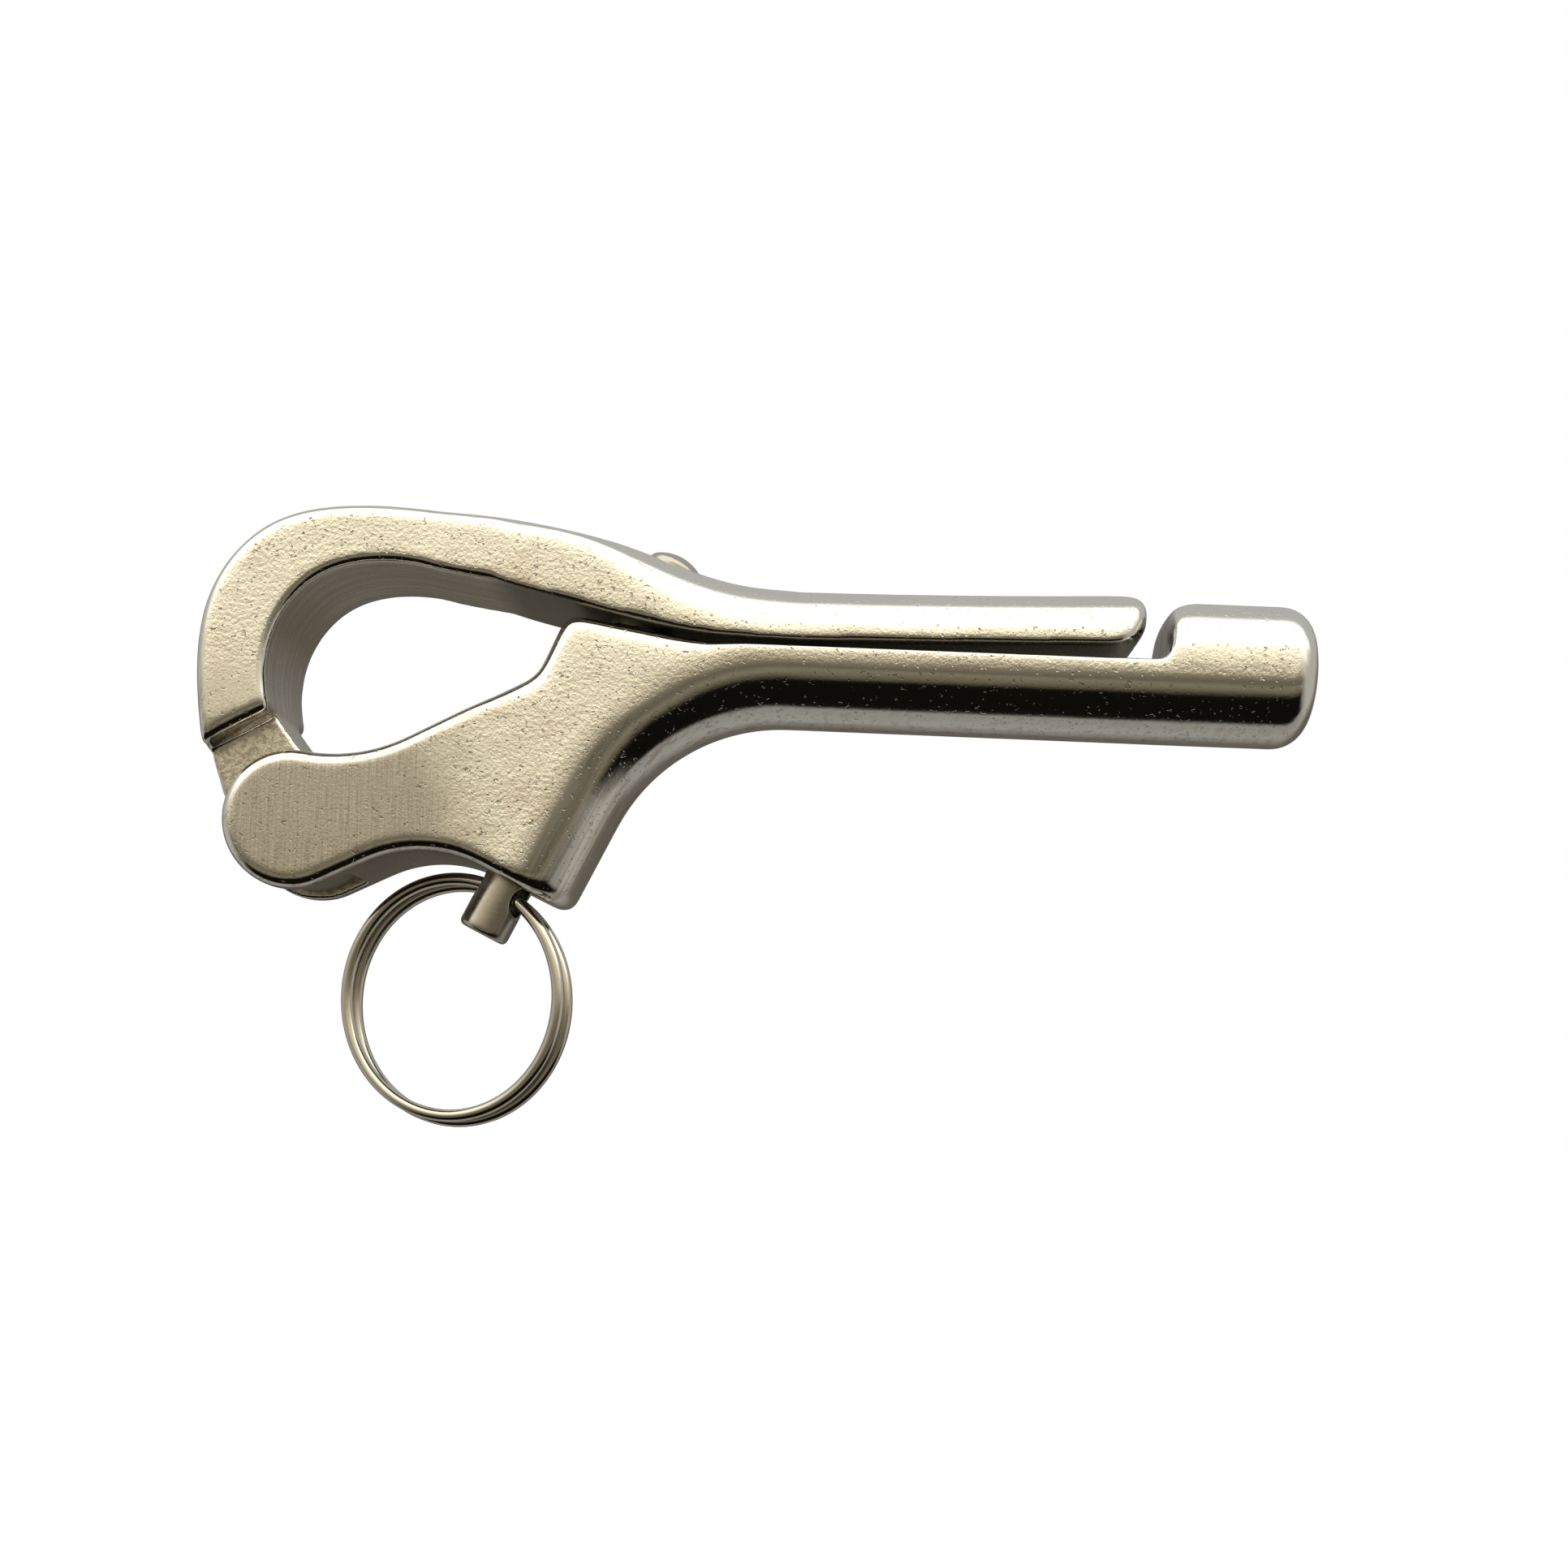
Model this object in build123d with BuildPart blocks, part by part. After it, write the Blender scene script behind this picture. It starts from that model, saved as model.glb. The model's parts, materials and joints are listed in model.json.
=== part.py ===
from build123d import *
import math
import os

os.makedirs("parts", exist_ok=True)

# Frame: X along the shank towards its threaded end, Z up, Y across the fork.
# The origin is the mouth of the threaded hole in the shank's end face. All values in millimetres.

# Shank, boss and barrel
SHANK_RADIUS = 6.88
BARREL_RADIUS = 6.8
SHANK_END_FILLET = 3.2
BOSS_LENGTH = 14.8
BOSS_EDGE_FILLET = 3.0
BOSS_TOP_CLEAR = 0.1
FLOOR_FILLET = 1.0
BEND_RADIUS = 25.0
TAP_DRILL_RADIUS = 3.4
TAP_DEPTH = 12.0
# The flat sides of the fork body end here, on the bend, where the round barrel takes over
PLATE_END_X = -59.0
# The plate's rounded rim stops this far from the plunger axis and at this height
RIM_FROM_AXIS = 7.5
RIM_TOP = 0.8

# Plunger axis: crosses the shank axis at PLUNGER_X and leans LEAN degrees from vertical
PLUNGER_X = -67.0
LEAN = 26.0
BARREL_FOOT = 25.7
BARREL_FOOT_FILLET = 1.5

# Fork and pivot
PIVOT_X = -98.45
PIVOT_Z = -18.2
NOSE_RADIUS = 6.7
NOSE_DROP = 0.2
PLATE_HALF = 6.75
PLATE_FILLET = 1.4
SLOT_HALF = 3.95
SLOT_FLOOR_RADIUS = 7.3
TONGUE_HALF = 3.85
TONGUE_RADIUS = 6.2
PIN_RADIUS = 2.5
PIN_CLEARANCE = 0.05
PIN_SKIN = 1.2

# Outline of the fork body, clockwise from the end of the shank floor
FLOOR_END = (-57.9, 0.0)
BODY_PEAK = (-72.8, 2.5)
BODY_KNEE = (-75.45, -3.6)
THROAT_END = (-97.0, -15.05)
ARCH_PEAK = (-85.6, -19.5)
FLOOR_END_FILLET = 20.0
PEAK_FILLET = 1.6
KNEE_FILLET = 2.5
THROAT_FILLET = 16.0
ARCH_FILLET = 12.5

# Lever sections from the hook to the tail: x, underside, top, half width, top corner radius
LEVER_SECTIONS = [
    (-79.5, 4.95, 11.42, 6.75, 1.6),
    (-75.1, 3.85, 10.87, 6.75, 1.7),
    (-70.9, 2.90, 10.20, 6.75, 2.2),
    (-67.0, 2.05, 9.55, 6.75, 4.0),
    (-63.5, 1.38, 8.65, 6.75, 5.3),
    (-59.5, 0.80, 7.45, 6.77, 5.8),
    (-55.5, 0.52, 6.65, 6.80, 5.9),
    (-50.5, 0.40, 6.25, 6.85, 5.7),
    (-33.5, 0.80, 6.55, 6.85, 5.65),
    (-15.4, 1.35, 7.30, 6.85, 5.8),
]
LEVER_FILLET = 1.4
LOOP_FILLET = 0.8
# Edges nearer to the middle of the hook's loop than this belong to the loop
LOOP_CENTRE = (-91.5, -2.5)
LOOP_REACH = 13.2

# Hook outline: outer curve from the tongue step to the straight stretch, then the inner curve likewise
HOOK_OUTER = [(-107.3, -11.75), (-108.1, -4.6), (-106.9, 3.6), (-101.4, 10.0), (-94.5, 11.9), (-85.5, 11.75)]
HOOK_INNER = [(-100.7, -8.1), (-101.25, -3.75), (-100.2, 0.5), (-96.5, 4.8), (-91.8, 6.35), (-85.5, 5.9)]
TONGUE_OUTLINE = [(-107.1, -10.5), (-106.8, -12.6), (-105.6, -16.3), (PIVOT_X, PIVOT_Z), (-96.9, -12.4)]
TONGUE_OUTLINE += [(-98.5, -11.2), (-100.5, -8.6), (-101.3, -7.0)]
# The first sections, up to this count, make the blend; from there the tail is straight
STRAIGHT_FROM = 8

# Free end of the tail, seen from the side: top, nose and upswept underside
TAIL_END_X = -16.6
TIP_OUTLINE = [(-22.5, 7.2), (TAIL_END_X, 7.35), (TAIL_END_X, 1.25), (-27.9, 0.85)]
TIP_FILLETS = [2.5, 3.3]
TIP_PLAN_WIDTH = 14.0
TIP_PLAN_FILLET = 4.0

# Plunger, measured along its axis from the point where it crosses the shank axis
TIP_RADIUS = 2.9
TIP_TOP = 10.7
TIP_DOME = 1.1
TIP_HOLE_RADIUS = 3.05
COLLAR_RADIUS = 3.53
COLLAR_TOP = 0.4
COLLAR_THICKNESS = 1.6
ROD_RADIUS = 2.55
ROD_END = -31.5
ROD_CHAMFER = 0.3
CROSS_HOLE_AT = -26.9
CROSS_HOLE_RADIUS = 1.6
# The cross hole is turned about the plunger axis by this angle
CROSS_HOLE_TWIST = 16.0
SPRING_BORE_RADIUS = 3.6
SPRING_BORE_FLOOR = -18.6
ROD_BORE_RADIUS = 2.61

# Spring and ring
SPRING_WIRE = 0.7
SPRING_MEAN_RADIUS = 3.08
SPRING_TURNS = 8.0
SPRING_GAP = 0.05
RING_MEAN_RADIUS = 12.0
RING_COIL_RADIAL = 1.3
RING_COIL_AXIAL = 1.3
RING_COIL_PITCH = 1.25
RING_COIL_FILLET = 0.4

# Tangent point of the lower edge on the nose circle, in degrees from straight down
LOWER_EDGE_ANGLE = 23.0

# Size of the blocks that cut away open space, and the distance at which two places count as one
WASTE = 30.0
NEAR = 0.01

lean = math.radians(LEAN)
AXIS_DIR = Vector(math.sin(lean), 0, math.cos(lean))
plunger_plane = Plane(origin=(PLUNGER_X, 0, 0), x_dir=(math.cos(lean), 0, -math.sin(lean)), z_dir=AXIS_DIR)


def on_axis(distance):
    """Point on the plunger axis, as X and Z."""
    return (PLUNGER_X + distance * math.sin(lean), distance * math.cos(lean))


# Where the shank's centreline leaves the X axis and where it joins the plunger axis
BEND_TANGENT = BEND_RADIUS * math.tan((math.pi / 2 - lean) / 2)
BEND_START = (PLUNGER_X + BEND_TANGENT, 0.0)
BEND_END = on_axis(-BEND_TANGENT)
FOOT = on_axis(-BARREL_FOOT)

# Corners of the plate's straight end, on the bend and on the sloping top
PLATE_BEND_END = (PLATE_END_X, math.sqrt(BEND_RADIUS**2 - (PLATE_END_X - BEND_START[0]) ** 2) - BEND_RADIUS)
TOP_SLOPE = (BODY_PEAK[1] - FLOOR_END[1]) / (BODY_PEAK[0] - FLOOR_END[0])
PLATE_TOP_END = (PLATE_END_X, FLOOR_END[1] + TOP_SLOPE * (PLATE_END_X - FLOOR_END[0]))

# Corners of the boss's face towards the lever, the upper one just clear of the boss
BOSS_FOOT = (-BOSS_LENGTH, 0.0)
BOSS_TOP = (-BOSS_LENGTH, SHANK_RADIUS + BOSS_TOP_CLEAR)
SPACE_END_X = BODY_KNEE[0] - WASTE

# The nose circle, and where the fork body's lower edge meets it
NOSE_CENTRE = (PIVOT_X, PIVOT_Z - NOSE_DROP)
edge = math.radians(LOWER_EDGE_ANGLE)
NOSE_TANGENT = (NOSE_CENTRE[0] + NOSE_RADIUS * math.sin(edge), NOSE_CENTRE[1] - NOSE_RADIUS * math.cos(edge))

# The spring fills the space between the bore's floor and the collar
COLLAR_FOOT = COLLAR_TOP - COLLAR_THICKNESS
SPRING_LENGTH = COLLAR_FOOT - SPRING_BORE_FLOOR - SPRING_WIRE - 2 * SPRING_GAP

cross_hole_centre = Vector(PLUNGER_X, 0, 0) + AXIS_DIR * CROSS_HOLE_AT
twist = math.radians(CROSS_HOLE_TWIST)
cross_hole_dir = plunger_plane.x_dir * math.cos(twist) - Vector(0, 1, 0) * math.sin(twist)
# The ring hangs plumb: its centre lies straight down, as far as the cross hole allows
hang_dir = (Vector(0, 0, -1) - cross_hole_dir * Vector(0, 0, -1).dot(cross_hole_dir)).normalized()
ring_centre = cross_hole_centre + hang_dir * RING_MEAN_RADIUS
ring_axis_dir = cross_hole_dir.cross(hang_dir)

# A point on the plunger's dome, half way from its rim to its top
dome_radius = (TIP_RADIUS**2 + TIP_DOME**2) / (2 * TIP_DOME)
dome_half_angle = math.asin(TIP_RADIUS / dome_radius) / 2
dome_drop = dome_radius * (1 - math.cos(dome_half_angle))
dome_middle = (dome_radius * math.sin(dome_half_angle), TIP_TOP - dome_drop)


def is_rim(edge_of_plate):
    """True for the flat faces' outer edges, but not along the top or inside the barrel."""
    middle = edge_of_plate.position_at(0.5)
    across = (middle.X - PLUNGER_X) * math.cos(lean) - middle.Z * math.sin(lean)
    return abs(abs(middle.Y) - PLATE_HALF) < NEAR and across < -RIM_FROM_AXIS and middle.Z < RIM_TOP


def is_loop(edge_of_hook):
    """True for an edge of the hook's flat faces that borders the loop."""
    middle = edge_of_hook.position_at(0.5)
    on_face = abs(abs(middle.Y) - PLATE_HALF) < NEAR
    return on_face and math.hypot(middle.X - LOOP_CENTRE[0], middle.Z - LOOP_CENTRE[1]) < LOOP_REACH


def is_outside(edge_of_hook):
    """True for the other edges of the hook's flat faces, up to where the tail begins."""
    middle = edge_of_hook.position_at(0.5)
    on_face = abs(abs(middle.Y) - PLATE_HALF) < NEAR
    return on_face and middle.X < LEVER_SECTIONS[0][0] - NEAR and not is_loop(edge_of_hook)


def corner_near(sketch, point):
    """Corner of a sketch that lies nearest to a point."""
    return sketch.vertices().sort_by_distance((point[0], point[1], 0))[0]


# ---------------------------------------------------------------- shank_body
with BuildPart() as fork_plate:
    # Flat fork body, up to the centreline of the barrel
    with BuildSketch(Plane.XZ) as plate_outline:
        with BuildLine():
            Polyline(PLATE_TOP_END, BODY_PEAK, BODY_KNEE, THROAT_END, NOSE_CENTRE)
            Polyline(NOSE_CENTRE, NOSE_TANGENT, ARCH_PEAK, FOOT, BEND_END)
            RadiusArc(BEND_END, PLATE_BEND_END, BEND_RADIUS)
            Line(PLATE_BEND_END, PLATE_TOP_END)
        make_face()
        with Locations(NOSE_CENTRE):
            Circle(NOSE_RADIUS)
        fillet(corner_near(plate_outline, BODY_PEAK), PEAK_FILLET)
        fillet(corner_near(plate_outline, BODY_KNEE), KNEE_FILLET)
        fillet(corner_near(plate_outline, ARCH_PEAK), ARCH_FILLET)
        throat_corners = plate_outline.vertices().filter_by(lambda v: v.Y > PIVOT_Z and v.X > PIVOT_X)
        fillet(throat_corners.sort_by_distance((PIVOT_X, PIVOT_Z, 0))[0], THROAT_FILLET)
    extrude(amount=PLATE_HALF, both=True)
    fillet(fork_plate.edges().filter_by(is_rim), PLATE_FILLET)

with BuildPart() as shank_body:
    # Round shank, tapering slightly towards the bend
    with BuildSketch(Plane.YZ.offset(-BOSS_LENGTH)):
        Circle(SHANK_RADIUS)
    with BuildSketch(Plane.YZ.offset(BEND_START[0])):
        Circle(BARREL_RADIUS)
    loft()
    # The shank bends down into the plunger barrel
    with BuildLine(Plane.XZ) as centreline:
        RadiusArc(BEND_START, BEND_END, -BEND_RADIUS)
        Line(BEND_END, FOOT)
    with BuildSketch(Plane(origin=(BEND_START[0], 0, 0), x_dir=(0, 1, 0), z_dir=(-1, 0, 0))):
        Circle(BARREL_RADIUS)
    sweep(path=centreline.line)
    foot_edges = shank_body.edges().filter_by(GeomType.CIRCLE)
    foot_edges = foot_edges.sort_by(lambda e: (e.arc_center - Vector(FOOT[0], 0, FOOT[1])).length)
    fillet(foot_edges[0], BARREL_FOOT_FILLET)
    # End boss, a full round
    with BuildSketch(Plane.YZ.offset(-BOSS_LENGTH)):
        Circle(SHANK_RADIUS)
    extrude(amount=BOSS_LENGTH)
    fillet(shank_body.edges().filter_by(GeomType.CIRCLE).group_by(Axis.X)[-1], SHANK_END_FILLET)
    # Clearance for the lever, above the shank floor and the sloping top of the fork body
    with BuildSketch(Plane.XZ) as lever_space:
        with BuildLine():
            Polyline(BODY_KNEE, BODY_PEAK, FLOOR_END, BOSS_FOOT, BOSS_TOP, (0, BOSS_TOP[1]), (0, WASTE))
            Polyline((0, WASTE), (SPACE_END_X, WASTE), (SPACE_END_X, BODY_KNEE[1]), BODY_KNEE)
        make_face()
        fillet(corner_near(lever_space, FLOOR_END), FLOOR_END_FILLET)
        fillet(corner_near(lever_space, BOSS_FOOT), FLOOR_FILLET)
        fillet(corner_near(lever_space, BOSS_TOP), BOSS_EDGE_FILLET)
    extrude(amount=WASTE, both=True, mode=Mode.SUBTRACT)
    add(fork_plate.part)
    # Fork slot, open at the nose
    with BuildSketch(Plane.XZ):
        with Locations((PIVOT_X, PIVOT_Z)):
            Circle(SLOT_FLOOR_RADIUS)
        with Locations((PIVOT_X - WASTE / 2, PIVOT_Z)):
            Rectangle(WASTE, 2 * SLOT_FLOOR_RADIUS)
    extrude(amount=SLOT_HALF, both=True, mode=Mode.SUBTRACT)
    # Pin hole, blind on the near side
    with BuildSketch(Plane.XZ.offset(PLATE_HALF - PIN_SKIN)):
        with Locations((PIVOT_X, PIVOT_Z)):
            Circle(PIN_RADIUS)
    extrude(amount=-2 * PLATE_HALF, mode=Mode.SUBTRACT)
    # Plunger bore: wide for the collar and spring, narrow for the rod
    with BuildSketch(plunger_plane.offset(SPRING_BORE_FLOOR)):
        Circle(SPRING_BORE_RADIUS)
    extrude(amount=WASTE, mode=Mode.SUBTRACT)
    with BuildSketch(plunger_plane.offset(SPRING_BORE_FLOOR)):
        Circle(ROD_BORE_RADIUS)
    extrude(amount=-WASTE, mode=Mode.SUBTRACT)
    # Threaded hole at its tapping size
    with BuildSketch(Plane.YZ):
        Circle(TAP_DRILL_RADIUS)
    extrude(amount=-TAP_DEPTH, mode=Mode.SUBTRACT)
shank_body.part.label = "shank_body"
export_step(shank_body.part, "parts/shank_body.step")

# ---------------------------------------------------------------- hook_lever
with BuildPart() as lever_tail:
    # Blend from the hook's square section to the shank's round one, then the straight tail
    for stretch in (LEVER_SECTIONS[:STRAIGHT_FROM], LEVER_SECTIONS[STRAIGHT_FROM - 1 :]):
        for x, low, high, half_width, corner in stretch:
            with BuildSketch(Plane.YZ.offset(x)) as section:
                with Locations((0, (low + high) / 2)):
                    Rectangle(2 * half_width, high - low)
                fillet(section.vertices().group_by(Axis.Y)[-1], corner)
        loft()
    # Round the free end, seen from the side and from above
    with BuildSketch(Plane.XZ):
        with BuildLine():
            FilletPolyline(TIP_OUTLINE, radius=TIP_FILLETS)
            Polyline(TIP_OUTLINE[-1], (0, TIP_OUTLINE[-1][1]), (0, WASTE))
            Polyline((0, WASTE), (TIP_OUTLINE[0][0], WASTE), TIP_OUTLINE[0])
        make_face()
    extrude(amount=WASTE, both=True, mode=Mode.SUBTRACT)
    with BuildSketch(Plane.XY):
        with Locations((TAIL_END_X, 0)):
            Rectangle(WASTE, WASTE)
            RectangleRounded(
                2 * WASTE,
                TIP_PLAN_WIDTH,
                TIP_PLAN_FILLET,
                align=(Align.MAX, Align.CENTER),
                mode=Mode.SUBTRACT,
            )
    extrude(amount=WASTE, both=True, mode=Mode.SUBTRACT)

with BuildPart() as hook_lever:
    # Curved hook, as thick as the fork body
    section_x, section_low, section_high = LEVER_SECTIONS[0][:3]
    with BuildSketch(Plane.XZ) as hook_outline:
        with BuildLine():
            Spline(HOOK_OUTER)
            Line(HOOK_OUTER[-1], (section_x, section_high))
            Line((section_x, section_high), (section_x, section_low))
            Line((section_x, section_low), HOOK_INNER[-1])
            Spline(HOOK_INNER)
            Line(HOOK_INNER[0], HOOK_OUTER[0])
        make_face()
    extrude(amount=PLATE_HALF, both=True)
    fillet(hook_lever.edges().filter_by(is_outside), LEVER_FILLET)
    fillet(hook_lever.edges().filter_by(is_loop), LOOP_FILLET)
    add(lever_tail.part)
    # Tongue between the fork cheeks
    with BuildSketch(Plane.XZ):
        with BuildLine():
            Polyline(TONGUE_OUTLINE, close=True)
        make_face()
        with Locations((PIVOT_X, PIVOT_Z)):
            Circle(TONGUE_RADIUS)
    extrude(amount=TONGUE_HALF, both=True)
    # Pivot hole and plunger hole
    with BuildSketch(Plane.XZ):
        with Locations((PIVOT_X, PIVOT_Z)):
            Circle(PIN_RADIUS + PIN_CLEARANCE)
    extrude(amount=PLATE_HALF, both=True, mode=Mode.SUBTRACT)
    with BuildSketch(plunger_plane):
        Circle(TIP_HOLE_RADIUS)
    extrude(amount=WASTE, mode=Mode.SUBTRACT)
hook_lever.part.label = "hook_lever"
export_step(hook_lever.part, "parts/hook_lever.step")

# ---------------------------------------------------------------- pivot_pin
with BuildPart() as pivot_pin:
    with BuildSketch(Plane.XZ.offset(PLATE_HALF - PIN_SKIN)):
        with Locations((PIVOT_X, PIVOT_Z)):
            Circle(PIN_RADIUS)
    extrude(amount=-(2 * PLATE_HALF - PIN_SKIN))
pivot_pin.part.label = "pivot_pin"
export_step(pivot_pin.part, "parts/pivot_pin.step")

# ---------------------------------------------------------------- lock_plunger
with BuildPart() as lock_plunger:
    # Half section, turned about the plunger axis
    with BuildSketch(Plane(origin=(PLUNGER_X, 0, 0), x_dir=plunger_plane.x_dir, z_dir=(0, -1, 0))):
        with BuildLine():
            Polyline((0, TIP_TOP), (0, ROD_END), (ROD_RADIUS - ROD_CHAMFER, ROD_END))
            Polyline((ROD_RADIUS - ROD_CHAMFER, ROD_END), (ROD_RADIUS, ROD_END + ROD_CHAMFER))
            Polyline((ROD_RADIUS, ROD_END + ROD_CHAMFER), (ROD_RADIUS, COLLAR_FOOT))
            Polyline((ROD_RADIUS, COLLAR_FOOT), (COLLAR_RADIUS, COLLAR_FOOT))
            Polyline((COLLAR_RADIUS, COLLAR_FOOT), (COLLAR_RADIUS, COLLAR_TOP), (TIP_RADIUS, COLLAR_TOP))
            Line((TIP_RADIUS, COLLAR_TOP), (TIP_RADIUS, TIP_TOP - TIP_DOME))
            ThreePointArc((TIP_RADIUS, TIP_TOP - TIP_DOME), dome_middle, (0, TIP_TOP))
        make_face()
    revolve(axis=Axis((PLUNGER_X, 0, 0), AXIS_DIR))
    # Cross hole for the ring
    with BuildSketch(Plane(origin=cross_hole_centre, x_dir=AXIS_DIR, z_dir=cross_hole_dir)):
        Circle(CROSS_HOLE_RADIUS)
    extrude(amount=COLLAR_RADIUS, both=True, mode=Mode.SUBTRACT)
lock_plunger.part.label = "lock_plunger"
export_step(lock_plunger.part, "parts/lock_plunger.step")

# ---------------------------------------------------------------- plunger_spring
spring_start = Vector(PLUNGER_X, 0, 0) + AXIS_DIR * (SPRING_BORE_FLOOR + SPRING_GAP + SPRING_WIRE / 2)
with BuildPart() as plunger_spring:
    with BuildLine() as coil:
        pitch = SPRING_LENGTH / SPRING_TURNS
        Helix(pitch, SPRING_LENGTH, SPRING_MEAN_RADIUS, center=spring_start, direction=AXIS_DIR)
    with BuildSketch(Plane(origin=coil.line @ 0, z_dir=coil.line % 0)):
        Circle(SPRING_WIRE / 2)
    sweep(path=coil.line, is_frenet=True)
plunger_spring.part.label = "plunger_spring"
export_step(plunger_spring.part, "parts/plunger_spring.step")

# ---------------------------------------------------------------- pull_ring
with BuildPart() as pull_ring:
    # Two coils side by side, turned about the ring's own axis
    with BuildSketch(Plane(origin=ring_centre, x_dir=-hang_dir, z_dir=-cross_hole_dir)):
        with Locations((RING_MEAN_RADIUS, 0)):
            with GridLocations(0, RING_COIL_PITCH, 1, 2):
                RectangleRounded(RING_COIL_RADIAL, RING_COIL_AXIAL, RING_COIL_FILLET)
    revolve(axis=Axis(ring_centre, ring_axis_dir))
pull_ring.part.label = "pull_ring"
export_step(pull_ring.part, "parts/pull_ring.step")

print("ring hinge", cross_hole_centre, cross_hole_dir)
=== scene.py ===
import json
import math

import bmesh
import bpy
import numpy as np
from mathutils import Matrix, Vector


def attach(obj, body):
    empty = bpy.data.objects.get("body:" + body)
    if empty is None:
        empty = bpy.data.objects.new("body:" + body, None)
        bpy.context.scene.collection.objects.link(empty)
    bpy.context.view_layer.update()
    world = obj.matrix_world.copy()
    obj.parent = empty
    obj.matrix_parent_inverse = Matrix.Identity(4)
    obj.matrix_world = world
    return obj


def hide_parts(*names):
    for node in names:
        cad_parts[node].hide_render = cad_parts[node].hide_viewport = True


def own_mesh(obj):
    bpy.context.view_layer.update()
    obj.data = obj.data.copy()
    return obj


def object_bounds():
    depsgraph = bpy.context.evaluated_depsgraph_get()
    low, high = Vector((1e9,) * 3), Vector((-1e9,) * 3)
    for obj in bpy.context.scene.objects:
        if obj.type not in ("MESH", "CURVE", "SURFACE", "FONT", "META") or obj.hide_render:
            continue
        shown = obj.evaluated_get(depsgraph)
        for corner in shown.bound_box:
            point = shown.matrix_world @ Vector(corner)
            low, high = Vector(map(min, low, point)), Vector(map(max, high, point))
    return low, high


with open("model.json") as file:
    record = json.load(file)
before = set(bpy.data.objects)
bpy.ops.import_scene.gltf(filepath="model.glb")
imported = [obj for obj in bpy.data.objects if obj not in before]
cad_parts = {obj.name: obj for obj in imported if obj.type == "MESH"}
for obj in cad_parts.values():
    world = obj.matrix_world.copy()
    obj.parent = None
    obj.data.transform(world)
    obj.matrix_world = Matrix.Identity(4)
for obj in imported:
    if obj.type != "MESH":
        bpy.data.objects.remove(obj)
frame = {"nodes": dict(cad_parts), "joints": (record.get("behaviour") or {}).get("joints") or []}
cad_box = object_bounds()
scene = bpy.context.scene
MM = 0.001

# ------------------------------------------------------------------ sizes, in millimetres
# Plunger axis: it crosses the shank's axis at PLUNGER_X and leans from vertical by LEAN
PLUNGER_X = -67.0
LEAN = math.radians(26.0)
AXIS = Vector((math.sin(LEAN), 0, math.cos(LEAN)))
# Middle of the lever's hinge
PIVOT = Vector((-98.45, 0, -18.2))

# Even mesh sizes of the castings and of the plunger
BODY_VOXEL = 0.27
LEVER_VOXEL = 0.25
PLUNGER_VOXEL = 0.13

# How far a fully softened point moves towards its neighbours in one pass, and the passes for each area
SOFTENING = 0.5
CASTING_PASSES = 6
FORK_TOP_PASSES = 70
SHANK_FLOOR_PASSES = 10
BOSS_STEP_PASSES = 70
HOOK_PASSES = 16
TAIL_PASSES = 22
TAIL_TIP_PASSES = 40
PLUNGER_PASSES = 20

# Where the softened areas fade in or out along X, Y (from the middle plane) and Z
FORK_OUTSIDE_Y = (4.6, 5.6)
FORK_TOP_Z = (-8.0, -4.5)
FORK_TOP_START_X = (-84, -79)
FORK_TOP_END_X = (-62, -55)
SHANK_FLOOR_X = (-66, -58)
SHANK_FLOOR_LOW_Z = (-1.5, -0.7)
SHANK_FLOOR_HIGH_Z = (0.8, 1.4)
BOSS_STEP_START_X = (-16.4, -15.6)
BOSS_STEP_END_X = (-13.0, -11.5)
BOSS_STEP_Z = (0.9, 2.2)
LEVER_OUTSIDE_Y = (3.95, 4.6)
HOOK_TO_TAIL_X = (-84, -78)
TAIL_TIP_X = (-21, -18.5)

# Split ring
WIRE_RADIUS = 0.63
RING_RADIUS = 11.8
COIL_PITCH = 1.25
CROSSING_HALF = math.radians(11)
# The coils aren't quite in line: half their offset along the cross hole and downwards
COIL_ALONG = 0.25
COIL_DOWN = 0.17
RING_STEPS = 360
RING_SIDES = 20

# Middle of the hook's loop, and how far its inner edges reach
LOOP_CENTRE = (-91.5, -2.5)
LOOP_REACH = 13.6

# Spring
SPRING_WIRE_RADIUS = 0.34
SPRING_RADIUS = 3.08
SPRING_TURNS = 8
SPRING_LOW = -18.6
SPRING_HIGH = -1.25
SPRING_STEPS_A_TURN = 48
SPRING_SIDES = 12
# Room kept at each end of the spring, and how closely its end turns crowd together
SPRING_END = 0.4
SPRING_CROWDING = 0.06

# Domed ends of a bar: rings of faces in each, and height as a share of the bar's radius
CAP_RINGS = 3
CAP_HEIGHT = 0.5


# ------------------------------------------------------------------ mesh helpers
def new_object(name, data):
    """An object of this mesh or camera, linked to the scene."""
    piece = bpy.data.objects.new(name, data)
    scene.collection.objects.link(piece)
    return piece


def even_copy(node, voxel):
    """A node's shape as one even quad mesh, as a new mesh."""
    rough = new_object(node + "_rough", frame["nodes"][node].data.copy())
    remesh = rough.modifiers.new("even", "REMESH")
    remesh.mode = "VOXEL"
    remesh.voxel_size = voxel * MM
    bpy.context.view_layer.update()
    evaluated = rough.evaluated_get(bpy.context.evaluated_depsgraph_get())
    mesh = bpy.data.meshes.new_from_object(evaluated)
    bpy.data.objects.remove(rough)
    mesh.materials.clear()
    return mesh


def coordinates(mesh):
    """Vertex positions in millimetres."""
    flat = np.zeros(len(mesh.vertices) * 3)
    mesh.vertices.foreach_get("co", flat)
    return flat.reshape(-1, 3) / MM


def set_coordinates(mesh, points):
    """Writes vertex positions given in millimetres."""
    mesh.vertices.foreach_set("co", (points * MM).ravel())
    mesh.update()


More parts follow.
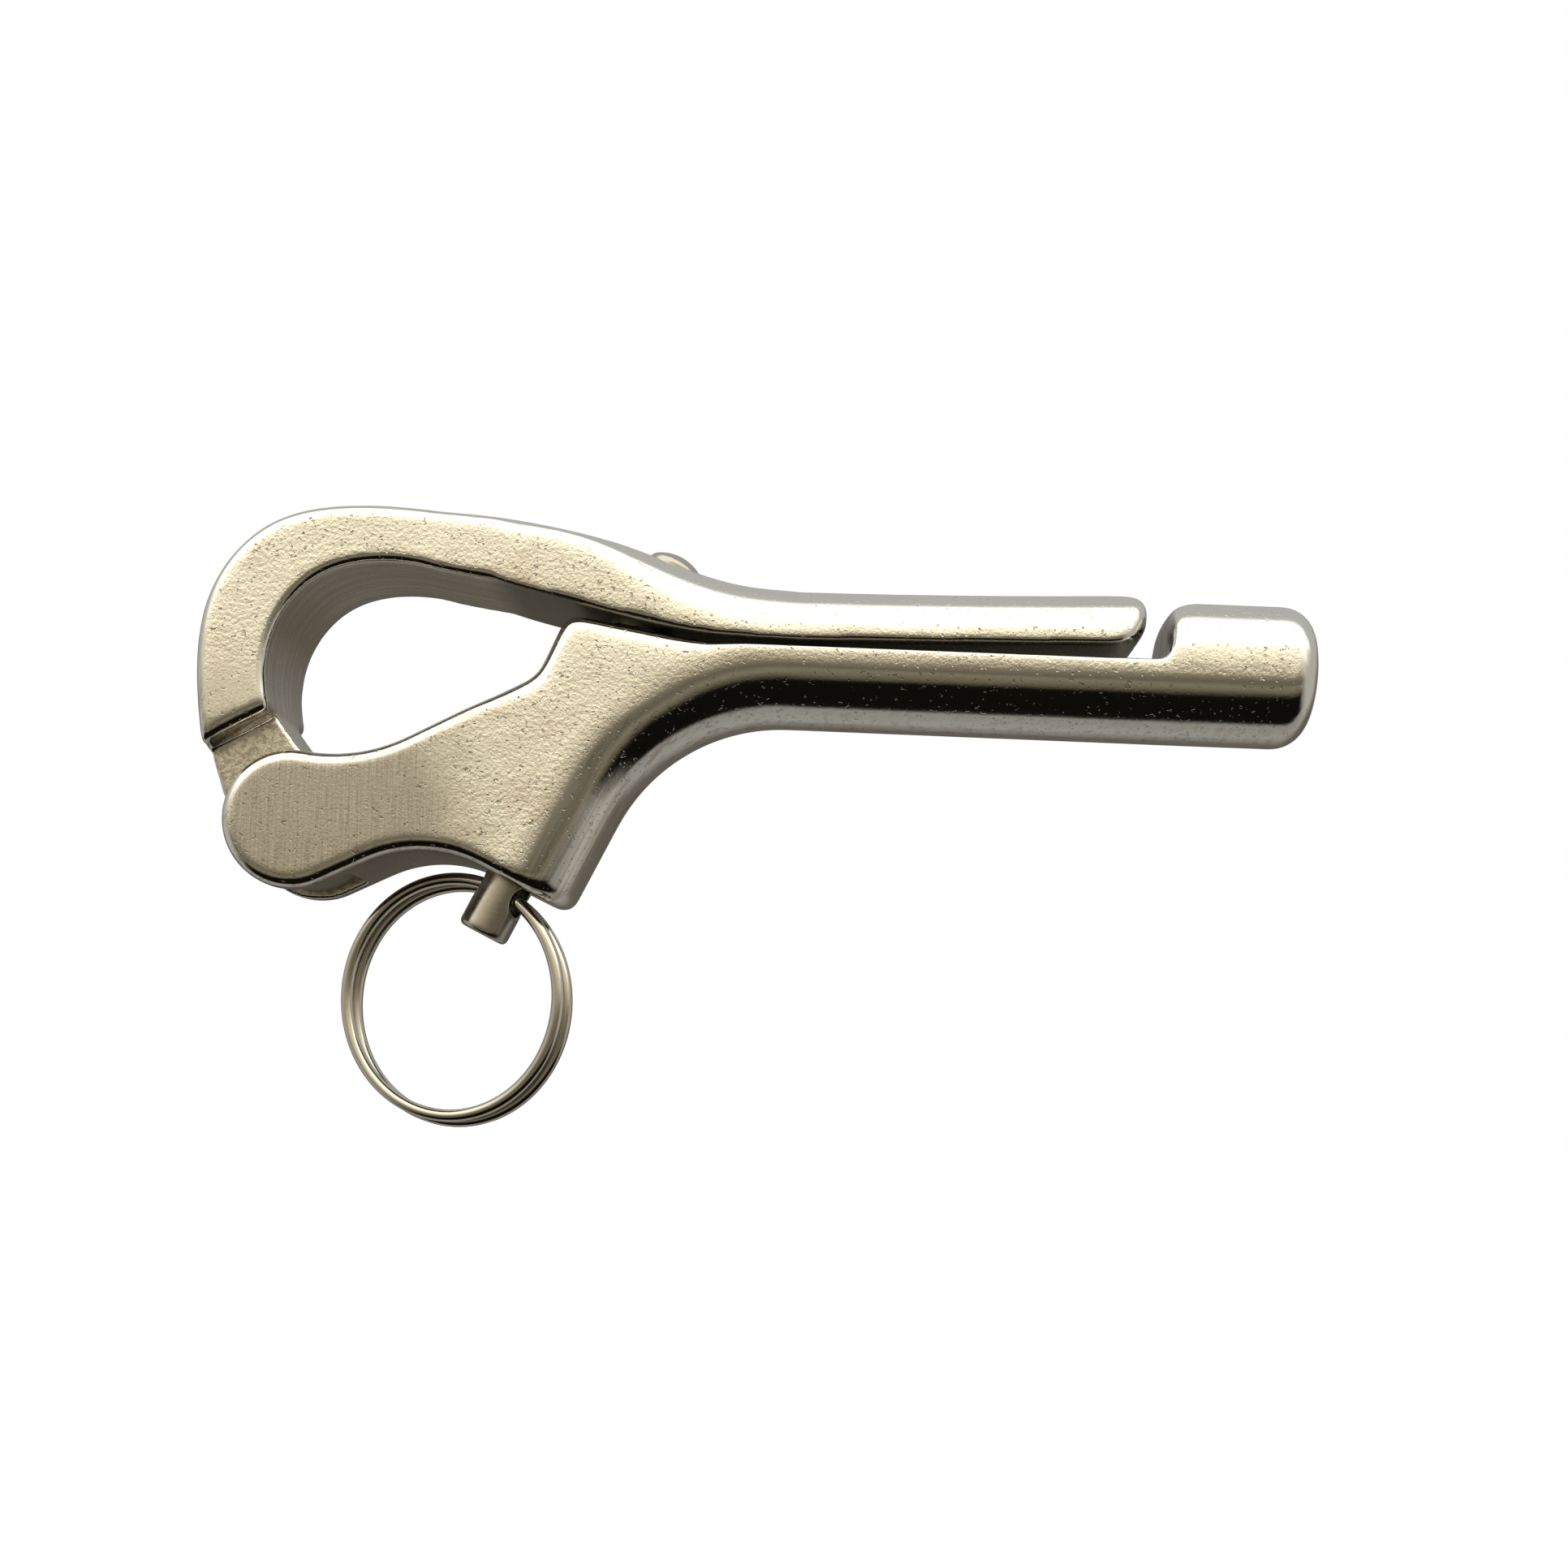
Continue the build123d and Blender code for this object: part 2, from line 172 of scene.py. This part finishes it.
def edge_pairs(mesh):
    """Vertex numbers at the ends of every edge."""
    flat = np.zeros(len(mesh.edges) * 2, np.int64)
    mesh.edges.foreach_get("vertices", flat)
    return flat.reshape(-1, 2)


def relax(points, pairs, weight, passes):
    """Moves each point towards the mean of its neighbours, by its weight, this many times."""
    count = len(points)
    first, second = pairs[:, 0], pairs[:, 1]
    neighbours = np.bincount(pairs.ravel(), minlength=count)
    for _ in range(passes):
        mean = np.empty_like(points)
        for k in range(3):
            total = np.bincount(first, points[second, k], count)
            total += np.bincount(second, points[first, k], count)
            mean[:, k] = total / neighbours
        points = points + (mean - points) * weight[:, None]
    return points


def ramp(value, low, high):
    """0 below low, 1 above high, smooth between."""
    t = np.clip((value - low) / (high - low), 0, 1)
    return t * t * (3 - 2 * t)


def smooth_shading(mesh):
    """All faces shade smoothly."""
    mesh.polygons.foreach_set("use_smooth", np.ones(len(mesh.polygons), bool))
    mesh.update()


def tube(name, centres, radius, sides):
    """A closed round bar along a row of points, with domed ends."""
    centres = np.array(centres)
    tangents = np.gradient(centres, axis=0)
    tangents /= np.linalg.norm(tangents, axis=1)[:, None]
    side = np.cross(tangents[0], (0.3, 0.9, 0.1))
    rings = []
    for centre, tangent in zip(centres, tangents):
        side = side - tangent * side.dot(tangent)
        side /= np.linalg.norm(side)
        rings.append((centre, side, np.cross(tangent, side), radius))
    start, finish = rings[0], rings[-1]
    for k in range(1, CAP_RINGS + 1):
        turn = math.pi / 2 * k / (CAP_RINGS + 0.5)
        shrink, out = radius * math.cos(turn), CAP_HEIGHT * radius * math.sin(turn)
        rings.insert(0, (start[0] - tangents[0] * out, start[1], start[2], shrink))
        rings.append((finish[0] + tangents[-1] * out, finish[1], finish[2], shrink))
    bm = bmesh.new()
    loops = []
    for centre, across, up, size in rings:
        turns = [2 * math.pi * k / sides for k in range(sides)]
        spots = [centre + (across * math.cos(t) + up * math.sin(t)) * size for t in turns]
        loops.append([bm.verts.new(Vector(spot) * MM) for spot in spots])
    for low, high in zip(loops, loops[1:]):
        for k in range(sides):
            bm.faces.new((low[k], low[(k + 1) % sides], high[(k + 1) % sides], high[k]))
    bm.faces.new(reversed(loops[0]))
    bm.faces.new(loops[-1])
    bmesh.ops.recalc_face_normals(bm, faces=bm.faces)
    mesh = bpy.data.meshes.new(name)
    bm.to_mesh(mesh)
    bm.free()
    smooth_shading(mesh)
    return new_object(name, mesh)


# ------------------------------------------------------------------ materials
class Nodes:
    """Short forms for building a node tree."""

    def __init__(self, tree):
        self.tree = tree
        tree.nodes.clear()

    def add(self, kind, inputs=None, **settings):
        node = self.tree.nodes.new(kind)
        for key, value in settings.items():
            setattr(node, key, value)
        for key, value in (inputs or {}).items():
            self.feed(node.inputs[key], value)
        return node

    def feed(self, socket, value):
        if isinstance(value, bpy.types.NodeSocket):
            self.tree.links.new(value, socket)
        else:
            socket.default_value = value

    def math(self, operation, a, b=0.0, c=0.0, clamp=False):
        return self.add("ShaderNodeMath", {0: a, 1: b, 2: c}, operation=operation, use_clamp=clamp).outputs[0]

    def span(self, value, start, end):
        """0 at start, 1 at end, smooth between; start may be the higher of the two."""
        inputs = {"Value": value, "From Min": start, "From Max": end}
        return self.add("ShaderNodeMapRange", inputs, interpolation_type="SMOOTHSTEP").outputs[0]

    def mix(self, share, a, b):
        inputs = {"Factor": share, "A": a, "B": b}
        return self.add("ShaderNodeMix", inputs, data_type="FLOAT").outputs[0]

    def mix_colour(self, share, a, b):
        node = self.add("ShaderNodeMix", data_type="RGBA")
        self.feed(node.inputs[0], share)
        self.feed(node.inputs[6], a)
        self.feed(node.inputs[7], b)
        return node.outputs[2]

    def noise(self, vector, scale, detail=2.0, roughness=0.5):
        inputs = {"Vector": vector, "Scale": scale, "Detail": detail, "Roughness": roughness}
        return self.add("ShaderNodeTexNoise", inputs).outputs["Fac"]

    def stretch(self, vector, scale):
        return self.add("ShaderNodeMapping", {"Vector": vector, "Scale": scale}).outputs[0]

    def metal(self, colour, roughness, height):
        """A metal surface with relief, the height in metres."""
        bump = self.add("ShaderNodeBump", {"Strength": 1.0, "Distance": 1.0, "Height": height})
        look = {"Base Color": colour, "Metallic": 1.0, "Roughness": roughness, "Normal": bump.outputs[0]}
        shader = self.add("ShaderNodeBsdfPrincipled", look)
        self.add("ShaderNodeOutputMaterial", {"Surface": shader.outputs[0]})


def material(name):
    """An empty material and its node helper."""
    made = bpy.data.materials.new(name)
    made.use_nodes = True
    return made, Nodes(made.node_tree)


# Areas of the castings, in metres: where each starts to show and where it shows fully
LOOP_WALL_FROM_LOOP = (0.0150, 0.0138)
LOW_WALL_Z = (-0.0150, -0.0165)
WALL_X = (-0.0735, -0.0775)
STEP_X = (-0.030, -0.025)
UNDER_X = (-0.0815, -0.0775)
SLOT_Y = (0.0055, 0.0045)
BARREL_Z = (-0.004, -0.008)
# Where the walls' painted shade grows darker towards the bottom
SHADED_WALL_Z = (-0.0150, -0.0175)

# The same, by how squarely a surface faces its direction
FLAT_FACING = (0.955, 0.99)
WALL_FACING = (0.5, 0.25)
STEP_FACING = (-0.6, -0.9)
UNDER_FACING = (-0.5, -0.8)
BARREL_FACING = (0.98, 0.93)

# The ground area's ragged edge: its depth in metres, and its inner edge as a share of its reach
RAGGED_DEPTH = 0.008
GROUND_INNER = 0.62

# Relief, in metres, as pairs: where the surface isn't cast or flat, and where it is
GRAIN_HEIGHT = (0.000005, 0.000085)
FINE_HEIGHT = (0.0000020, 0.000030)
SWELL_HEIGHT = (0.000012, 0.000085)
BRUSH_HEIGHT = 0.000016
LINE_HEIGHT = 0.000014
PIT_DEPTH = -0.000080
STEEL_MARK_HEIGHT = 0.000005

# Colours of the castings, as pairs of the two shades that alternate
POLISHED = ((0.69, 0.67, 0.62, 1), (0.77, 0.755, 0.71, 1))
MATTE = ((0.86, 0.80, 0.68, 1), (0.97, 0.92, 0.80, 1))
BRUSHED = ((0.41, 0.38, 0.325, 1), (0.61, 0.57, 0.495, 1))
# Hook's inner walls: real fine lines, in darker tones that are painted shade for the shadowed surface they
# reflect
LINED_AND_SHADED = ((0.50, 0.47, 0.42, 1), (0.76, 0.72, 0.65, 1))
# Boss step face: real milling marks, in dark tones that are a painted dark reflection
MILLED_DARK_REFLECTION = ((0.20, 0.195, 0.18, 1), (0.50, 0.49, 0.46, 1))
# Painted shade on the tongue face, recessed between the fork's sides, mottled by the grain
SLOT_SHADE = ((0.36, 0.33, 0.27, 1), (0.72, 0.67, 0.57, 1))
STAIN = (0.74, 0.62, 0.49, 1)
BARREL_STREAK = (0.46, 0.39, 0.31, 1)
# Painted shade at the bottom of the hook's walls
LOW_WALL_SHADE = (0.17, 0.135, 0.095, 1)
# Painted shade on the lever's downward faces, in the gap over the body
UNDERSIDE_SHADE = (0.22, 0.20, 0.16, 1)
PIT_DIRT = (0.16, 0.13, 0.09, 1)


def casting_material(name, ground_at, ground_reach, ground_shade, under_shade):
    """Cast stainless: polished rounds, pitted matte flats, and brush marks where one end is ground; painted
    shade on the hook's inner walls, the tongue face and the lever's undersides, and a painted dark reflection
    on the boss step.
    """
    made, n = material(name)
    where = n.add("ShaderNodeTexCoord")
    point = where.outputs["Object"]
    place = n.add("ShaderNodeSeparateXYZ", {"Vector": point})
    facing = n.add("ShaderNodeSeparateXYZ", {"Vector": where.outputs["Normal"]})
    across = n.math("ABSOLUTE", facing.outputs["Y"])
    flat = n.span(across, *FLAT_FACING)
    level = n.add("ShaderNodeVectorMath", {0: point, 1: (1, 0, 1)}, operation="MULTIPLY").outputs["Vector"]
    loop_at = (LOOP_CENTRE[0] * MM, 0, LOOP_CENTRE[1] * MM)
    from_loop = n.add("ShaderNodeVectorMath", {0: level, 1: loop_at}, operation="DISTANCE").outputs["Value"]
    low_wall = n.span(place.outputs["Z"], *LOW_WALL_Z)
    inner = n.math("MAXIMUM", n.span(from_loop, *LOOP_WALL_FROM_LOOP), low_wall)
    wall = n.math("MULTIPLY", n.span(across, *WALL_FACING), n.span(place.outputs["X"], *WALL_X))
    wall = n.math("MULTIPLY", wall, inner)
    step = n.span(facing.outputs["X"], *STEP_FACING)
    step = n.math("MULTIPLY", step, n.span(place.outputs["X"], *STEP_X))
    under = n.span(facing.outputs["Z"], *UNDER_FACING)
    under = n.math("MULTIPLY", under, n.span(place.outputs["X"], *UNDER_X))
    under = n.math("MULTIPLY", under, under_shade)
    tongue_shade = n.math("MULTIPLY", n.span(n.math("ABSOLUTE", place.outputs["Y"]), *SLOT_Y), flat)
    gap = n.add("ShaderNodeVectorMath", {0: point, 1: ground_at}, operation="DISTANCE").outputs["Value"]
    ragged = n.math("MULTIPLY_ADD", n.math("SUBTRACT", n.noise(point, 160, 2), 0.5), RAGGED_DEPTH, gap)
    ground = n.math("MULTIPLY", n.span(ragged, ground_reach, ground_reach * GROUND_INNER), flat)
    cast = n.math("SUBTRACT", flat, ground, clamp=True)

    fine = n.noise(point, 4200, 3, 0.6)
    grain = n.noise(point, 2700, 3, 0.6)
    stain = n.noise(point, 150, 4, 0.65)
    turned = n.add("ShaderNodeMapping", {"Vector": point, "Rotation": (0, -LEAN, 0)}).outputs[0]
    streak = n.noise(n.stretch(turned, (1500, 1500, 60)), 1.0, 3, 0.6)
    barrel = n.math("MULTIPLY", n.span(place.outputs["Z"], *BARREL_Z), n.span(across, *BARREL_FACING))
    swell = n.noise(point, 330, 2, 0.5)
    brush = n.noise(n.stretch(point, (6500, 900, 200)), 1.0, 3, 0.7)
    lines = n.noise(n.stretch(point, (70, 4200, 70)), 1.0, 3, 0.6)
    milled = n.noise(n.stretch(point, (200, 2600, 200)), 1.0, 2, 0.6)
    cloud = n.noise(point, 240, 3, 0.6)
    crowd = n.noise(point, 170, 2, 0.5)
    pit = n.math("MULTIPLY", n.span(n.noise(point, 2300, 1, 0.5), 0.66, 0.73), n.span(crowd, 0.28, 0.50))
    dirt = n.math("MULTIPLY", n.span(n.noise(point, 2600, 2, 0.6), 0.665, 0.73), n.span(crowd, 0.30, 0.6))

    height = n.math("MULTIPLY", n.math("SUBTRACT", grain, 0.5), n.mix(cast, *GRAIN_HEIGHT))
    height = n.math("MULTIPLY_ADD", n.math("SUBTRACT", fine, 0.5), n.mix(flat, *FINE_HEIGHT), height)
    height = n.math("MULTIPLY_ADD", n.math("SUBTRACT", swell, 0.5), n.mix(cast, *SWELL_HEIGHT), height)
    height = n.math("MULTIPLY_ADD", n.math("MULTIPLY", brush, ground), BRUSH_HEIGHT, height)
    height = n.math("MULTIPLY_ADD", n.math("MULTIPLY", lines, wall), LINE_HEIGHT, height)
    height = n.math("MULTIPLY_ADD", n.math("MULTIPLY", pit, n.mix(cast, 0.2, 1.0)), PIT_DEPTH, height)

    roughness = n.mix(flat, 0.10, 0.40)
    roughness = n.mix(ground, roughness, 0.32)
    roughness = n.mix(wall, roughness, 0.28)
    roughness = n.mix(under, roughness, 0.42)
    roughness = n.math("MULTIPLY_ADD", n.math("SUBTRACT", grain, 0.5), 0.10, roughness)

    polished = n.mix_colour(cloud, *POLISHED)
    streaked = n.math("MULTIPLY", n.math("MULTIPLY", n.span(streak, 0.48, 0.66), barrel), 0.7)
    polished = n.mix_colour(streaked, polished, BARREL_STREAK)
    matte = n.mix_colour(cloud, *MATTE)
    matte = n.mix_colour(n.math("MULTIPLY", n.span(stain, 0.50, 0.72), 0.60), matte, STAIN)
    tint = n.mix_colour(flat, polished, matte)
    brushed = n.mix_colour(n.span(brush, 0.30, 0.70), *BRUSHED)
    tint = n.mix_colour(n.math("MULTIPLY", ground, ground_shade), tint, brushed)
    # Lines on the hook's inner walls, in tones darkened as painted shade
    shaded_lines = n.mix_colour(n.span(lines, 0.3, 0.7), *LINED_AND_SHADED)
    # Painted shade, darker towards the bottom of the walls
    low = n.span(place.outputs["Z"], *SHADED_WALL_Z)
    shaded_lines = n.mix_colour(n.math("MULTIPLY", low, 0.75), shaded_lines, LOW_WALL_SHADE)
    tint = n.mix_colour(n.math("MULTIPLY", wall, 0.9), tint, shaded_lines)
    # Painted dark reflection on the boss step face, with its milling marks
    tint = n.mix_colour(step, tint, n.mix_colour(n.span(milled, 0.36, 0.64), *MILLED_DARK_REFLECTION))
    # Painted shade under the lever
    tint = n.mix_colour(under, tint, UNDERSIDE_SHADE)
    # Painted shade on the recessed tongue face
    shaded = n.mix_colour(n.span(grain, 0.35, 0.65), *SLOT_SHADE)
    tint = n.mix_colour(n.math("MULTIPLY", tongue_shade, 0.9), tint, shaded)
    pitted = n.math("MULTIPLY", pit, n.mix(flat, 0.25, 0.55))
    marks = n.math("MAXIMUM", pitted, n.math("MULTIPLY", dirt, 0.45))
    tint = n.mix_colour(marks, tint, PIT_DIRT)
    n.metal(tint, roughness, height)
    return made


def steel_material(name, dark, light, roughness, marks_scale):
    """Drawn or turned steel, with fine marks; their scale is given for each direction."""
    made, n = material(name)
    point = n.add("ShaderNodeTexCoord").outputs["Object"]
    marks = n.noise(n.stretch(point, marks_scale), 1.0, 3, 0.55)
    cloud = n.noise(point, 330, 3, 0.6)
    tint = n.mix_colour(cloud, dark, light)
    rough = n.math("MULTIPLY_ADD", n.math("SUBTRACT", marks, 0.5), 0.2, roughness)
    n.metal(tint, rough, n.math("MULTIPLY", marks, STEEL_MARK_HEIGHT))
    return made


# Middle of the lever's brushed area, in metres
LEVER_GROUND_AT = Vector((-0.1055, 0, -0.009))

body_steel = casting_material(
    "body_steel",
    ground_at=PIVOT * MM,
    ground_reach=0.022,
    ground_shade=0.95,
    under_shade=0.0,
)
lever_steel = casting_material(
    "lever_steel",
    ground_at=LEVER_GROUND_AT,
    ground_reach=0.011,
    ground_shade=0.30,
    under_shade=0.85,
)
turned_steel = steel_material(
    "turned_steel",
    dark=(0.42, 0.39, 0.34, 1),
    light=(0.55, 0.51, 0.45, 1),
    roughness=0.26,
    marks_scale=(900, 900, 2400),
)
spring_steel = steel_material(
    "spring_steel",
    dark=(0.50, 0.50, 0.50, 1),
    light=(0.62, 0.62, 0.62, 1),
    roughness=0.2,
    marks_scale=(1500, 1500, 1500),
)
ring_steel = steel_material(
    "ring_steel",
    dark=(0.55, 0.52, 0.46, 1),
    light=(0.68, 0.65, 0.58, 1),
    roughness=0.15,
    marks_scale=(1500, 1500, 1500),
)
pin_steel = steel_material(
    "pin_steel",
    dark=(0.58, 0.56, 0.52, 1),
    light=(0.70, 0.68, 0.64, 1),
    roughness=0.3,
    marks_scale=(2600, 200, 200),
)


# ------------------------------------------------------------------ castings
def fork_body():
    """The shank and fork: soft edges along the top of the fork, crisper ones along the shank floor."""
    mesh = even_copy("shank_body", BODY_VOXEL)
    points, pairs = coordinates(mesh), edge_pairs(mesh)
    x, y, z = points.T
    everywhere = np.full(len(points), SOFTENING)
    points = relax(points, pairs, everywhere, CASTING_PASSES)
    outside = ramp(np.abs(y), *FORK_OUTSIDE_Y)
    top = ramp(z, *FORK_TOP_Z) * ramp(x, *FORK_TOP_START_X) * (1 - ramp(x, *FORK_TOP_END_X)) * outside
    points = relax(points, pairs, SOFTENING * top, FORK_TOP_PASSES)
    shank_floor = ramp(x, *SHANK_FLOOR_X) * ramp(z, *SHANK_FLOOR_LOW_Z)
    shank_floor = shank_floor * (1 - ramp(z, *SHANK_FLOOR_HIGH_Z)) * outside
    points = relax(points, pairs, SOFTENING * shank_floor, SHANK_FLOOR_PASSES)
    boss = ramp(x, *BOSS_STEP_START_X) * (1 - ramp(x, *BOSS_STEP_END_X)) * ramp(z, *BOSS_STEP_Z)
    points = relax(points, pairs, SOFTENING * boss, BOSS_STEP_PASSES)
    set_coordinates(mesh, points)
    smooth_shading(mesh)
    piece = new_object("fork_body_casting", mesh)
    mesh.materials.append(body_steel)
    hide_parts("shank_body")
    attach(piece, "body")


def lever():
    """The hooked lever: rounder outer edges on the hook and tail."""
    mesh = even_copy("hook_lever", LEVER_VOXEL)
    points, pairs = coordinates(mesh), edge_pairs(mesh)
    x, y, z = points.T
    everywhere = np.full(len(points), SOFTENING)
    points = relax(points, pairs, everywhere, CASTING_PASSES)
    outside = ramp(np.abs(y), *LEVER_OUTSIDE_Y)
    from_loop = np.hypot(x - LOOP_CENTRE[0], z - LOOP_CENTRE[1])
    hook = (1 - ramp(x, *HOOK_TO_TAIL_X)) * outside * ramp(from_loop, LOOP_REACH - 1, LOOP_REACH + 1)
    points = relax(points, pairs, SOFTENING * hook, HOOK_PASSES)
    tail = ramp(x, *HOOK_TO_TAIL_X) * outside
    points = relax(points, pairs, SOFTENING * tail, TAIL_PASSES)
    tip = ramp(x, *TAIL_TIP_X)
    points = relax(points, pairs, SOFTENING * tip, TAIL_TIP_PASSES)
    set_coordinates(mesh, points)
    smooth_shading(mesh)
    piece = new_object("hooked_lever_casting", mesh)
    mesh.materials.append(lever_steel)
    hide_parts("hook_lever")
    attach(piece, "lever")


def plunger():
    """The lock plunger, with its edges slightly broken."""
    mesh = even_copy("lock_plunger", PLUNGER_VOXEL)
    points, pairs = coordinates(mesh), edge_pairs(mesh)
    everywhere = np.full(len(points), SOFTENING)
    points = relax(points, pairs, everywhere, PLUNGER_PASSES)
    set_coordinates(mesh, points)
    smooth_shading(mesh)
    piece = new_object("turned_plunger", mesh)
    mesh.materials.append(turned_steel)
    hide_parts("lock_plunger")
    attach(piece, "plunger")


def on_axis(distance):
    """A point on the plunger axis, in millimetres."""
    return Vector((PLUNGER_X, 0, 0)) + AXIS * distance


def spring():
    """Compression spring with closed end turns."""
    across = Vector((math.cos(LEAN), 0, -math.sin(LEAN)))
    depth = Vector((0, 1, 0))
    steps = SPRING_TURNS * SPRING_STEPS_A_TURN
    low, high = SPRING_LOW + SPRING_END, SPRING_HIGH - SPRING_END
    centres = []
    for k in range(steps + 1):
        share = k / steps
        eased = share + SPRING_CROWDING * math.sin(2 * math.pi * share)
        turn = 2 * math.pi * SPRING_TURNS * share
        spot = on_axis(low + (high - low) * min(max(eased, 0), 1))
        centres.append(spot + (across * math.cos(turn) + depth * math.sin(turn)) * SPRING_RADIUS)
    piece = tube("coil_spring", centres, SPRING_WIRE_RADIUS, SPRING_SIDES)
    piece.data.materials.append(spring_steel)
    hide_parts("plunger_spring")
    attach(piece, "body")
    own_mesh(piece)


def split_ring():
    """Two coils of wire side by side that change places in the cross hole, where both ends lie."""
    hinge = next(j for j in frame["joints"] if j["name"] == "ring_swing")
    through = Vector(hinge["axis"]).normalized()
    hang = Vector((0, 0, -1))
    hang = (hang - through * hang.dot(through)).normalized()
    centre = Vector(hinge["pos_m"]) / MM + hang * RING_RADIUS
    axis = through.cross(hang)
    first, last = CROSSING_HALF, 4 * math.pi - CROSSING_HALF
    middle = 2 * math.pi
    centres = []
    for k in range(RING_STEPS + 1):
        turn = first + (last - first) * k / RING_STEPS
        side = min(max((turn - middle) / CROSSING_HALF, -1), 1)
        side = side * (1.5 - 0.5 * side * side)
        radial = -hang * math.cos(turn) + through * math.sin(turn)
        offset = axis * (COIL_PITCH / 2) + through * COIL_ALONG + hang * COIL_DOWN
        centres.append(centre + radial * RING_RADIUS + offset * side)
    piece = tube("split_ring", centres, WIRE_RADIUS, RING_SIDES)
    piece.data.materials.append(ring_steel)
    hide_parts("pull_ring")
    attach(piece, "ring")


fork_body()
lever()
plunger()
spring()
split_ring()
pin = frame["nodes"]["pivot_pin"]
pin.data.materials.clear()
pin.data.materials.append(pin_steel)


# ------------------------------------------------------------------ studio
FLOOR_DROP = 0.062
FLOOR_HALF = 3.0
FLOOR_COLOUR = (0.9, 0.9, 0.9, 1)
FLOOR_GLOW = 0.55


def floor():
    """A wide pale floor, well below the part."""
    made, n = material("floor_white")
    diffuse = n.add("ShaderNodeBsdfDiffuse", {"Color": FLOOR_COLOUR})
    glow = n.add("ShaderNodeEmission", {"Color": (1, 1, 1, 1), "Strength": FLOOR_GLOW})
    both = n.add("ShaderNodeAddShader", {0: diffuse.outputs[0], 1: glow.outputs[0]})
    n.add("ShaderNodeOutputMaterial", {"Surface": both.outputs[0]})
    height = cad_box[0][2] - FLOOR_DROP
    mesh = bpy.data.meshes.new("floor")
    corners = [(-1, -1), (1, -1), (1, 1), (-1, 1)]
    mesh.from_pydata([(a * FLOOR_HALF, b * FLOOR_HALF, height) for a, b in corners], [], [(0, 1, 2, 3)])
    mesh.materials.append(made)
    piece = new_object("floor", mesh)
    piece.visible_glossy = False
    piece.visible_diffuse = False


# Light from each direction around the shank: degrees from straight ahead (towards the front),
# 90 overhead, 180 behind, -90 below; then colour
SURROUNDINGS = [
    (-180, (0.13, 0.115, 0.09)),
    (-152, (0.17, 0.155, 0.13)),
    (-128, (0.40, 0.39, 0.37)),
    (-98, (0.34, 0.33, 0.30)),
    (-91, (0.006, 0.005, 0.004)),
    (-45, (0.006, 0.005, 0.004)),
    (-38, (0.13, 0.11, 0.07)),
    (-29, (0.27, 0.24, 0.17)),
    (-21, (0.16, 0.14, 0.10)),
    (-4, (0.26, 0.23, 0.17)),
    (6, (0.55, 0.49, 0.37)),
    (15, (0.86, 0.78, 0.60)),
    (28, (1.02, 0.94, 0.76)),
    (38, (1.8, 1.76, 1.52)),
    (88, (1.8, 1.82, 1.7)),
    (98, (0.60, 0.61, 0.59)),
    (146, (0.52, 0.52, 0.50)),
    (162, (0.24, 0.23, 0.21)),
    (180, (0.17, 0.155, 0.13)),
]
# Light from either end of the shank, and the sideways share of a direction where it takes over
END_LIGHT = (0.55, 0.53, 0.48, 1)
END_LIGHT_FROM = (0.75, 0.98)
WHITE = (1, 1, 1, 1)


def surroundings():
    """Soft light that depends on its height and side; the background itself is white."""
    world = bpy.data.worlds.new("studio")
    scene.world = world
    world.use_nodes = True
    n = Nodes(world.node_tree)
    direction = n.add("ShaderNodeTexCoord").outputs["Generated"]
    parts = n.add("ShaderNodeSeparateXYZ", {"Vector": direction})
    front = n.math("MULTIPLY", parts.outputs["Y"], -1.0)
    angle = n.math("ARCTAN2", parts.outputs["Z"], front)
    share = n.math("MULTIPLY_ADD", angle, 1 / (2 * math.pi), 0.5)
    ring = n.add("ShaderNodeValToRGB", {"Fac": share})
    stops = ring.color_ramp.elements
    stops[0].position = 0.0
    stops[1].position = 1.0
    for degrees, _ in SURROUNDINGS[1:-1]:
        stops.new(degrees / 360 + 0.5)
    for stop, (_, colour) in zip(stops, SURROUNDINGS):
        stop.color = (*colour, 1)
    sideways = n.span(n.math("ABSOLUTE", parts.outputs["X"]), *END_LIGHT_FROM)
    glow = n.mix_colour(sideways, ring.outputs["Color"], END_LIGHT)
    seen = n.add("ShaderNodeLightPath").outputs["Is Camera Ray"]
    colour = n.mix_colour(seen, glow, WHITE)
    back = n.add("ShaderNodeBackground", {"Color": colour, "Strength": 1.0})
    n.add("ShaderNodeOutputWorld", {"Surface": back.outputs[0]})


# Camera: its place, sensor width and focal length in millimetres, its roll, its frame shift, and the
# nearest and furthest distances that it sees, in metres
CAMERA_AT = Vector((-46.31, -178.0, -43.02))
CAMERA_ROLL = math.radians(-2.2)
FOCAL_LENGTH = 41.23
SHIFT_X = -0.0254
SHIFT_Y = 0.199
SENSOR_WIDTH = 36.0
NEAREST = 0.01
FURTHEST = 20


def camera():
    """Looks straight at the part's side."""
    data = bpy.data.cameras.new("camera")
    data.sensor_width = SENSOR_WIDTH
    data.lens = FOCAL_LENGTH
    data.shift_x = SHIFT_X
    data.shift_y = SHIFT_Y
    data.clip_start = NEAREST
    data.clip_end = FURTHEST
    piece = new_object("camera", data)
    right = Vector((math.cos(CAMERA_ROLL), 0, -math.sin(CAMERA_ROLL)))
    up = Vector((math.sin(CAMERA_ROLL), 0, math.cos(CAMERA_ROLL)))
    turn = Matrix((right, up, right.cross(up))).transposed()
    piece.matrix_world = Matrix.Translation(CAMERA_AT * MM) @ turn.to_4x4()
    scene.camera = piece


floor()
surroundings()
camera()
scene.view_settings.view_transform = "Standard"
scene.view_settings.look = "None"
